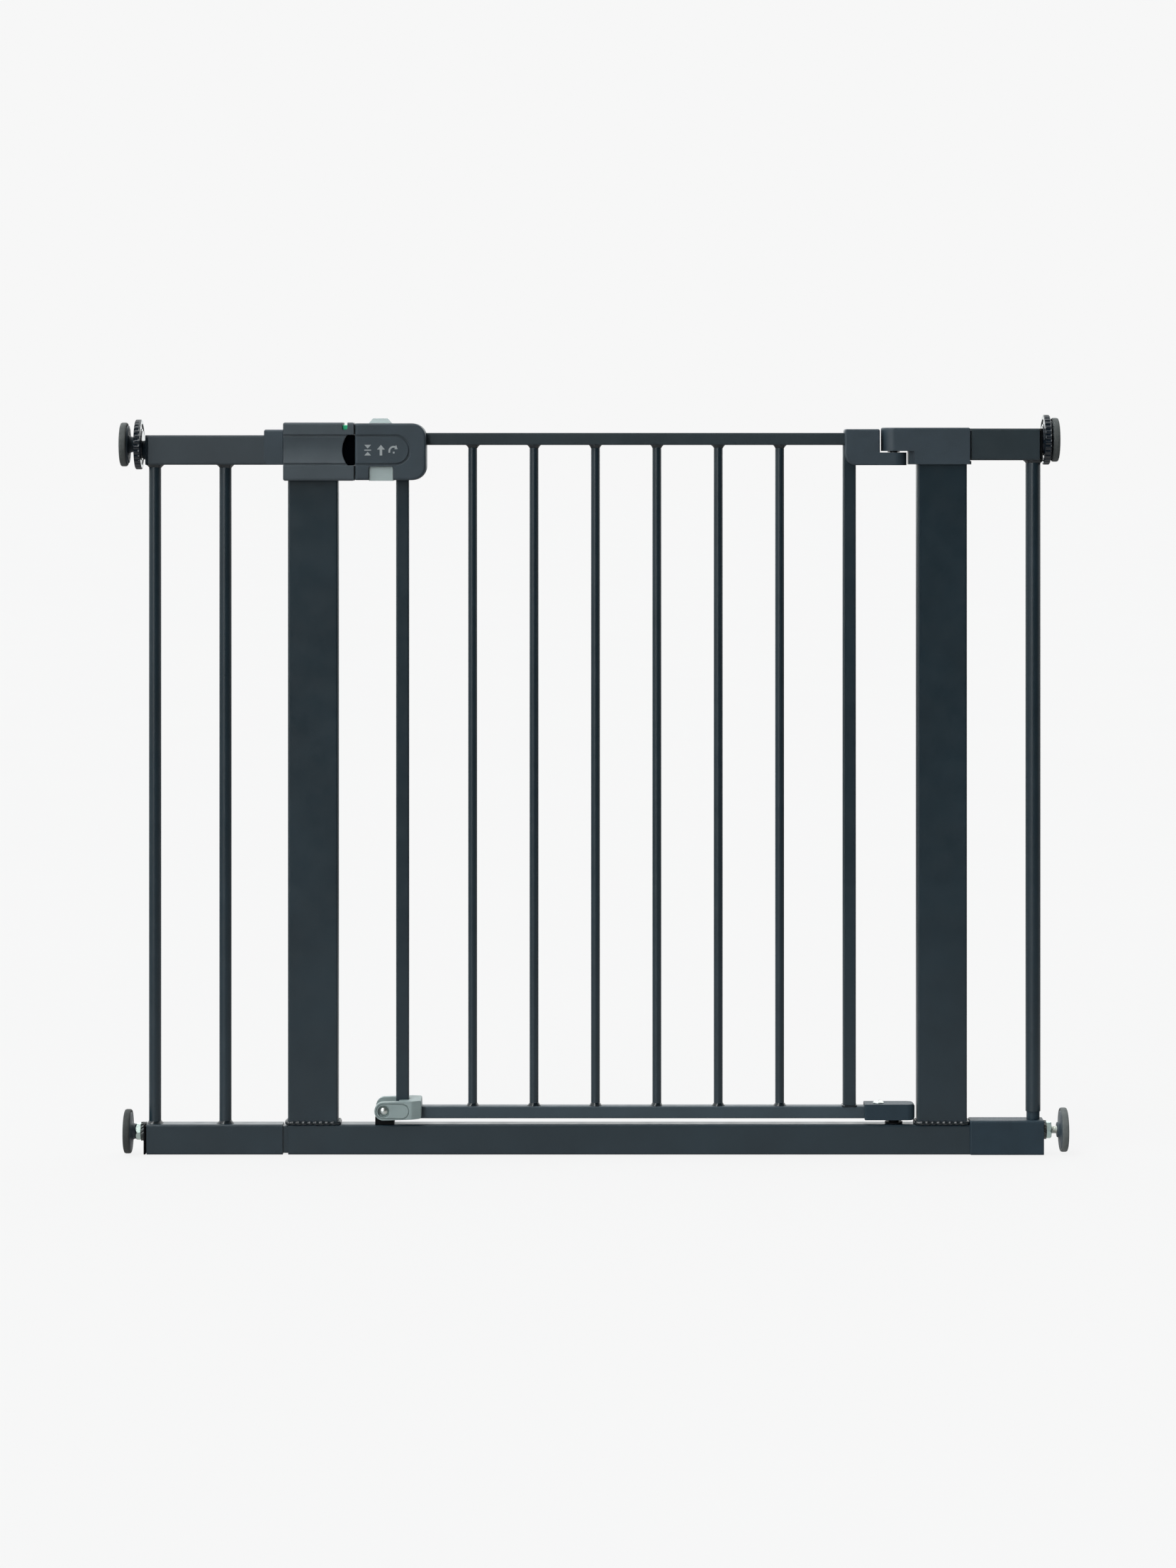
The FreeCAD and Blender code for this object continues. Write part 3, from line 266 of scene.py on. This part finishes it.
# pieces whose material differs from their slot's: real finishes, and copies with painted light or painted
# shade
FINISHES_AND_PAINTED_LIGHT = {
    # rails and extension top tubes take the lighter copies of the coat: painted light
    "matt_steel_painted_light": ("gate_top_rail", "right_ext_top_tube"),
    "steel_painted_lighter": ("left_ext_top_tube",),
    "bottom_rail_steel_painted_light": ("gate_bottom_rail",),
    # catch shells: housing plastic with painted light
    "catch_plastic_painted_light": ("catch_front_shell", "catch_rear_shell"),
    # catch liner: painted shade of the mouth's recess
    "liner_plastic_painted_shade": ("catch_liner",),
    "dark_plastic": ("right_base_sleeve", "lower_hinge_cap", "left_top_end_cap", "right_ext_bar_plug"),
    "button_plastic": ("top_button", "bottom_button"),
    "washer_steel": ("lock_washers",),
    "nut_steel": ("nut_left", "nut_right"),
}


def finish_cad_nodes():
    """Give every CAD node the material of its slot, or the one listed for it instead, which is a real finish
    or a copy with painted light or shade.
    """
    special = {node: finish_or_painted_light for finish_or_painted_light, nodes in FINISHES_AND_PAINTED_LIGHT.items() for node in nodes}
    for entry in frame["record"]["subparts"]:
        node = frame["nodes"][entry["node"]]
        node.data.materials.clear()
        node.data.materials.append(MATERIALS[special.get(entry["node"], entry["material_slot"])])


# ---------------------------------------------------------------- mesh helpers

CORNERS = ("upper_left", "upper_right", "lower_left", "lower_right")


def add_mesh(name, verts, faces, slot, body, smooth=True, replaces=(), finish_or_painted_light=None):
    """New piece that rides on a body; its last argument is its material where that isn't the slot's own, a
    real finish or a copy with painted light or shade.
    """
    mesh = bpy.data.meshes.new(name)
    mesh.from_pydata([tuple(v) for v in verts], [], faces)
    mesh.validate()
    check = bmesh.new()
    check.from_mesh(mesh)
    bmesh.ops.recalc_face_normals(check, faces=check.faces)
    check.to_mesh(mesh)
    check.free()
    mesh.polygons.foreach_set("use_smooth", [smooth] * len(mesh.polygons))
    piece = bpy.data.objects.new(name, mesh)
    bpy.context.scene.collection.objects.link(piece)
    piece.data.materials.append(MATERIALS[finish_or_painted_light or slot])
    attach(piece, body)
    if replaces:
        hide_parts(*replaces)
    return piece


def tube_along(path, radius_at, sides=10):
    """Verts and faces of a closed bead along a closed path; radius_at(distance) gives its radius."""
    count = len(path)
    verts, faces = [], []
    travelled = 0.0
    for i, point in enumerate(path):
        ahead = (path[(i + 1) % count] - path[i - 1]).normalized()
        side = ahead.cross(Vector((0, 0, 1))).normalized()
        up = side.cross(ahead)
        radius = radius_at(travelled)
        for k in range(sides):
            angle = 2 * math.pi * k / sides
            verts.append(point + (side * math.cos(angle) + up * math.sin(angle)) * radius)
        travelled += (path[(i + 1) % count] - point).length
        for k in range(sides):
            a, b = i * sides + k, i * sides + (k + 1) % sides
            following = (i + 1) % count * sides
            faces.append((a, b, following + (k + 1) % sides, following + k))
    return verts, faces


def tube_faces(rings, sides):
    """Faces of a closed tube of open rings, with a flat end at each side."""
    faces = []
    for i in range(rings):
        for k in range(sides):
            nxt = (k + 1) % sides
            faces.append((i * sides + k, i * sides + nxt, (i + 1) * sides + nxt, (i + 1) * sides + k))
    faces.append(tuple(range(sides)))
    faces.append(tuple(range(rings * sides, (rings + 1) * sides)))
    return faces


def rect_path(x0, x1, half_y, z, step=1.2 * MM, corner=1.5 * MM):
    """Closed rounded rectangle at height z, sampled evenly."""
    corners = [(x1 - corner, half_y - corner, 0.0), (x0 + corner, half_y - corner, 90.0),
               (x0 + corner, -half_y + corner, 180.0), (x1 - corner, -half_y + corner, 270.0)]
    points = []
    for i, (cx, cy, start) in enumerate(corners):
        for turn in range(0, 91, 30):
            angle = math.radians(start + turn)
            points.append(Vector((cx + corner * math.cos(angle), cy + corner * math.sin(angle), z)))
        nx, ny, nstart = corners[(i + 1) % 4]
        angle = math.radians(nstart)
        target = Vector((nx + corner * math.cos(angle), ny + corner * math.sin(angle), z))
        last = points[-1]
        steps = max(1, int((target - last).length / step))
        points.extend(last.lerp(target, k / steps) for k in range(1, steps))
    return points


def bead(path, radius, phase, pitch=1.9 * MM, lump=0.09):
    """Weld bead along a closed path, rippled like a laid weld."""
    ripple = 2 * math.pi / pitch

    def radius_at(distance):
        wander = 0.08 * math.sin(310 * distance + 2.3 * phase)
        return radius * (1 + lump * math.sin(ripple * distance + phase) + wander)

    return tube_along(path, radius_at)


def flare(x, z, grow, radius, legs, height, phase):
    """Closed concave weld fillet round a bar's end at height z; legs are its spread along X and Y."""
    sides, rings, sink, inset = 28, 8, 0.3 * MM, 0.12 * MM
    verts = []
    for i in range(rings + 1):
        level = i / rings
        spread = (1 - level) ** 1.5
        for k in range(sides):
            angle = 2 * math.pi * k / sides
            lump = 1 + 0.16 * math.sin(2 * angle + phase) + 0.10 * math.sin(5 * angle + 2.3 * phase)
            reach_x, reach_y = [radius - inset + leg * spread * lump for leg in legs]
            rise = level * height * (1 + 0.10 * math.sin(angle + phase)) - sink
            verts.append(Vector((x + reach_x * math.cos(angle), reach_y * math.sin(angle), z + grow * rise)))
    return verts, tube_faces(rings, sides)


def join_welds(name, welds, body):
    """One object from many closed weld meshes, in a glossier copy of the coat darkened as painted shade of
    the seams.
    """
    verts, faces = [], []
    for weld_verts, weld_faces in welds:
        start = len(verts)
        verts.extend(weld_verts)
        faces.extend(tuple(start + k for k in face) for face in weld_faces)
    return add_mesh(name, verts, faces, "powder_coated_steel", body, finish_or_painted_light="weld_coat_painted_shade")


def lathe(profile, x, z, side, segments=72):
    """Turn a closed (distance, radius) profile about the X direction through (x, 0, z)."""
    verts, faces = [], []
    for distance, radius in profile:
        for k in range(segments):
            angle = 2 * math.pi * k / segments
            y, up = radius * math.cos(angle), radius * math.sin(angle)
            verts.append(Vector((x + side * distance, y, z + up)))
    rings = len(profile)
    for i in range(rings):
        following = (i + 1) % rings
        for k in range(segments):
            nxt = (k + 1) % segments
            near, far = i * segments, following * segments
            faces.append((near + k, near + nxt, far + nxt, far + k))
    return verts, faces


# ---------------------------------------------------------------- pieces that CAD leaves plain

def centre(node):
    low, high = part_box(node)
    return (Vector(low) + Vector(high)) / 2


def weld_beads():
    """Weld fillets at the bars' ends, and beads where stiles and posts meet the tubes."""
    def bar_ends(node, xs, legs, height, ends=(0, 1)):
        low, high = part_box(node)
        radius = (high[1] - low[1]) / 2
        made = []
        for i, x in enumerate(xs):
            for end in ends:
                level, grow = ((low[2], 1), (high[2], -1))[end]
                made.append(flare(x, level, grow, radius, legs, height, 1.7 * i + 0.9 * end))
        return made

    def spaced(node, count):
        low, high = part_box(node)
        radius = (high[1] - low[1]) / 2
        first, last = low[0] + radius, high[0] - radius
        return [first + (last - first) * i / (count - 1) for i in range(count)]

    welds = bar_ends("gate_bars", spaced("gate_bars", 6), (2.7 * MM, 1.4 * MM), 4.0 * MM)
    low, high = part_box("gate_hinge_stile")
    out = 0.3 * MM
    welds.append(bead(rect_path(low[0] - out, high[0] + out, high[1], low[2] + out), 1.1 * MM, 0.0))
    join_welds("door_welds", welds, "gate")

    legs, height = (3.2 * MM, 1.9 * MM), 3.7 * MM
    welds = bar_ends("left_ext_bars", spaced("left_ext_bars", 2), legs, height)
    low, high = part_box("right_ext_bar")
    welds += bar_ends("right_ext_bar", ((low[0] + high[0]) / 2,), legs, height, (1,))
    for i, post in enumerate(("left_post", "right_post")):
        low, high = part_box(post)
        out, back, lift = 1.1 * MM, 0.2 * MM, 1.5 * MM
        path = rect_path(low[0] - out, high[0] + out, high[1] - back, low[2] + lift, corner=3 * MM)
        welds.append(bead(path, 2.0 * MM, 0.8 * i, 5.9 * MM, 0.20))
    join_welds("frame_welds", welds, "frame")


def spindle_threads():
    """Rolled threads in place of the plain spindles."""
    pitch, depth, runout, sides, per_turn = 1.25 * MM, 0.5 * MM, 0.4 * MM, 20, 6
    for corner in CORNERS:
        node = "spindle_" + corner
        low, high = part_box(node)
        middle, radius = centre(node), (high[2] - low[2]) / 2
        rings = int((high[0] - low[0]) / pitch * per_turn)
        verts = []
        for i in range(rings + 1):
            x = low[0] + (high[0] - low[0]) * i / rings
            taper = min(1.0, i / per_turn, (rings - i) / per_turn)
            for k in range(sides):
                phase = (x / pitch - k / sides) % 1.0
                valley = min(1.0, 2.6 * abs(phase - 0.5))
                r = radius - depth * (1 - valley) - runout * (1 - taper)
                angle = 2 * math.pi * k / sides
                verts.append(Vector((x, middle.y + r * math.cos(angle), middle.z + r * math.sin(angle))))
        faces = tube_faces(rings, sides)
        add_mesh("thread_" + corner, verts, faces, "zinc_steel", node, smooth=False, replaces=(node,))


def wall_pads():
    """Rubber pads with a grooved wall face, each bonded to a hard plate with a hub."""
    thick, seat = 7.8 * MM, 1.8 * MM
    grooves, groove_half, groove_deep = (17.0 * MM, 13.0 * MM, 9.0 * MM), 0.9 * MM, 0.7 * MM
    for corner in CORNERS:
        node = "pad_" + corner
        low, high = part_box(node)
        side = -1 if corner.endswith("left") else 1
        radius = (high[2] - low[2]) / 2
        face = high[0] if side > 0 else low[0]
        hub = (high[0] - low[0]) - thick
        z = centre(node).z
        inner = face - side * thick

        # both profiles are (distance from the rubber's inner side, radius)
        rubber_profile = [(seat, 6.0 * MM), (seat, radius - 2.6 * MM), (0.9 * MM, radius - 1.9 * MM),
                          (0.8 * MM, radius - 0.9 * MM), (1.4 * MM, radius - 0.25 * MM), (2.6 * MM, radius),
                          (thick - 1.9 * MM, radius), (thick - 0.6 * MM, radius - 0.5 * MM),
                          (thick, radius - 2.0 * MM)]
        for groove in grooves:
            rubber_profile += [(thick, groove + groove_half), (thick - groove_deep, groove + groove_half / 2),
                               (thick - groove_deep, groove - groove_half / 2), (thick, groove - groove_half)]
        rubber_profile += [(thick, 4.9 * MM), (thick - 0.9 * MM, 4.4 * MM)]
        verts, faces = lathe(rubber_profile, inner, z, side)
        # each corner's rubber; the lower two carry painted shade or painted light in their colour
        add_mesh("rubber_" + corner, verts, faces, "pad_rubber", "spindle_" + corner, replaces=(node,),
                 finish_or_painted_light="rubber_" + corner)

        proud = 1.5 * MM if corner == "upper_left" else 0.0
        buried = seat - 0.05 * MM
        plate_profile = [(-hub, 4.1 * MM), (-hub, 7.0 * MM), (-hub + 0.25 * MM, 7.5 * MM),
                         (-0.62 * hub, 7.8 * MM), (-0.30 * hub, 8.5 * MM), (-0.08 * hub, 9.6 * MM),
                         (0.3 * MM, 11.6 * MM),
                         (0.6 * MM - proud, radius - 6.0 * MM), (0.9 * MM - proud, radius - 3.2 * MM),
                         (buried, radius - 2.7 * MM), (buried, 4.1 * MM)]
        verts, faces = lathe(plate_profile, inner, z, side)
        add_mesh("plate_" + corner, verts, faces, "housing_plastic", "spindle_" + corner)


def pictogram():
    """Generic squeeze, lift and swing signs printed on the latch's raised panel."""
    low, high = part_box("latch_front_shell")
    face, thick, buried = low[1], 0.10 * MM, 0.05 * MM
    mid_x, mid_z = low[0] + 26.5 * MM, (low[2] + high[2]) / 2 + 1.6 * MM
    squeeze, lift, swing = -13.5, 0.0, 13.0
    verts, faces = [], []

    def shape(cx, points):
        """Thin prism of (x, z) points in millimetres about a sign's centre."""
        start, count = len(verts), len(points)
        for y in (face - thick, face + buried):
            verts.extend(Vector((mid_x + (cx + x) * MM, y, mid_z + z * MM)) for x, z in points)
        faces.append(tuple(start + i for i in range(count)))
        faces.append(tuple(start + count + i for i in reversed(range(count))))
        for i in range(count):
            j = (i + 1) % count
            faces.append((start + i, start + count + i, start + count + j, start + j))

    def around(radius, angle, drop=1.0):
        return radius * math.cos(angle), radius * math.sin(angle) - drop

    def bar(cx, half_x, bottom, top):
        shape(cx, [(-half_x, bottom), (half_x, bottom), (half_x, top), (-half_x, top)])

    for sign in (1, -1):
        shape(squeeze, [(-3.4, sign * 5.4), (3.4, sign * 5.4), (0.0, sign * 1.7)][::sign])
    bar(squeeze, 3.4, -0.55, 0.55)
    shape(lift, [(4.0, 0.6), (0.0, 5.4), (-4.0, 0.6)])
    bar(lift, 1.3, -5.4, 0.6)
    steps, outer, inner = 12, 5.4, 3.6
    arc = [math.radians(200 - 130 * i / steps) for i in range(steps + 1)]
    for a, b in zip(arc, arc[1:]):
        shape(swing, [around(outer, a), around(outer, b), around(inner, b), around(inner, a)])
    tip = arc[-1]
    shape(swing, [around(6.9, tip), around(4.5, tip - 0.75), around(2.1, tip)])
    bar(swing, 0.9, -3.4, -1.6)
    add_mesh("latch_pictogram", verts, faces, "grey_plastic", "gate", smooth=False, finish_or_painted_light="print")


# ---------------------------------------------------------------- studio and camera

BACKDROP_LEVEL = 0.930      # what the camera sees past the floor's end
LEFT_LEVEL = 6.2            # softbox on the left, in front
LEFT_OUTER = 0.20           # share of that level at its outer edge
RIGHT_LEVEL = 0.02
BACK_LEVEL = 1.60
ABOVE_LEVEL = 0.30
FLOOR_SEEN = 0.851          # what the camera sees of the floor
FLOOR_NEAR = 0.50           # what the floor throws on the gate, close to it
FLOOR_FAR = 0.03
FLOOR_FADE = (0.7, 2.2)
SUN_LEVEL = 0.32


def light_tent():
    """Plain pale background for the camera, in a tent that is brightest behind, above and on the left."""
    world = bpy.data.worlds.new("studio")
    bpy.context.scene.world = world
    world.use_nodes = True
    tree = world.node_tree
    tree.nodes.clear()

    def ramp(source, low, high, at_low, at_high):
        """Smooth step of a direction component from at_low to at_high."""
        step = tree.nodes.new("ShaderNodeMapRange")
        step.interpolation_type = "SMOOTHSTEP"
        for name, value in (("From Min", low), ("From Max", high), ("To Min", at_low), ("To Max", at_high)):
            step.inputs[name].default_value = value
        tree.links.new(source, step.inputs["Value"])
        return step.outputs["Result"]

    def combine(operation, first, second):
        math_node = tree.nodes.new("ShaderNodeMath")
        math_node.operation = operation
        tree.links.new(first, math_node.inputs[0])
        tree.links.new(second, math_node.inputs[1])
        return math_node.outputs["Value"]

    coords = tree.nodes.new("ShaderNodeTexCoord")
    split = tree.nodes.new("ShaderNodeSeparateXYZ")
    tree.links.new(coords.outputs["Generated"], split.inputs["Vector"])
    inner_edge = ramp(split.outputs["X"], -0.31, -0.21, LEFT_LEVEL, RIGHT_LEVEL)
    falloff = ramp(split.outputs["X"], -0.60, -0.36, LEFT_OUTER, 1.0)
    left_panel = combine("MULTIPLY", inner_edge, falloff)
    facing = ramp(split.outputs["Y"], -0.30, 0.20, 1.0, 0.0)
    behind = ramp(split.outputs["Y"], -0.40, 0.35, 0.0, BACK_LEVEL)
    above = ramp(split.outputs["Z"], 0.40, 0.95, 0.0, ABOVE_LEVEL)
    total = combine("ADD", combine("ADD", combine("MULTIPLY", left_panel, facing), behind), above)
    tent = tree.nodes.new("ShaderNodeBackground")
    tent.inputs["Color"].default_value = (0.97, 1.0, 1.0, 1)
    tree.links.new(total, tent.inputs["Strength"])
    seen = tree.nodes.new("ShaderNodeBackground")
    seen.inputs["Color"].default_value = (BACKDROP_LEVEL, BACKDROP_LEVEL, BACKDROP_LEVEL, 1)
    path = tree.nodes.new("ShaderNodeLightPath")
    chooser = tree.nodes.new("ShaderNodeMixShader")
    tree.links.new(path.outputs["Is Camera Ray"], chooser.inputs["Fac"])
    tree.links.new(tent.outputs["Background"], chooser.inputs[1])
    tree.links.new(seen.outputs["Background"], chooser.inputs[2])
    output = tree.nodes.new("ShaderNodeOutputWorld")
    tree.links.new(chooser.outputs["Shader"], output.inputs["Surface"])


def studio_floor():
    """Pale seamless floor that throws light up only near the gate."""
    half, drop = 60.0, -0.4 * MM
    mesh = bpy.data.meshes.new("floor")
    corners = [(-half, -half, drop), (half, -half, drop), (half, half, drop), (-half, half, drop)]
    mesh.from_pydata(corners, [], [(0, 1, 2, 3)])
    floor = bpy.data.objects.new("floor", mesh)
    bpy.context.scene.collection.objects.link(floor)
    paint = Shader("floor_paint")
    paint.colour(paint.mix(paint.between(paint.noise(1.5, 3.0), 0.0, 1.0), (0.050,) * 3, (0.052,) * 3))
    paint.set(Roughness=0.9, Specular_IOR_Level=0.0, Emission_Color=(1.0, 1.0, 1.0))
    path = paint.node("ShaderNodeLightPath")
    away = paint.node("ShaderNodeVectorMath", operation="LENGTH")
    paint.link(paint.coords, away.inputs[0])
    bounce = paint.between(away.outputs["Value"], FLOOR_NEAR, FLOOR_FAR, *FLOOR_FADE)
    glow = paint.node("ShaderNodeMix")
    paint.link(path.outputs["Is Camera Ray"], glow.inputs["Factor"])
    paint.link(bounce, glow.inputs[2])
    glow.inputs[3].default_value = FLOOR_SEEN
    paint.link(glow.outputs[0], paint.principled.inputs["Emission Strength"])
    mesh.materials.append(paint.material)


def top_light():
    """Weak overhead sun for glints on edges and threads."""
    sun = bpy.data.lights.new("top_light", "SUN")
    sun.energy = SUN_LEVEL
    sun.angle = math.radians(14)
    lamp = bpy.data.objects.new("top_light", sun)
    lamp.rotation_euler = (math.radians(18), math.radians(-12), 0)
    bpy.context.scene.collection.objects.link(lamp)


def camera():
    """Level camera 4 m in front, a little above the latch; the shift keeps the gate's uprights parallel."""
    distance, eye, across = 4.0, 0.72, -0.006
    view_height, middle = 1.603, 0.3775
    data = bpy.data.cameras.new("camera")
    data.sensor_width = 36.0
    data.lens = data.sensor_width * distance / view_height
    data.shift_y = (middle - eye) / view_height
    data.dof.use_dof = False
    holder = bpy.data.objects.new("camera", data)
    holder.location = (across, -distance, eye)
    holder.rotation_euler = (math.radians(90), 0, 0)
    bpy.context.scene.collection.objects.link(holder)
    bpy.context.scene.camera = holder
    bpy.context.scene.view_settings.view_transform = "Standard"


finish_cad_nodes()
weld_beads()
spindle_threads()
wall_pads()
pictogram()
light_tent()
studio_floor()
top_light()
camera()
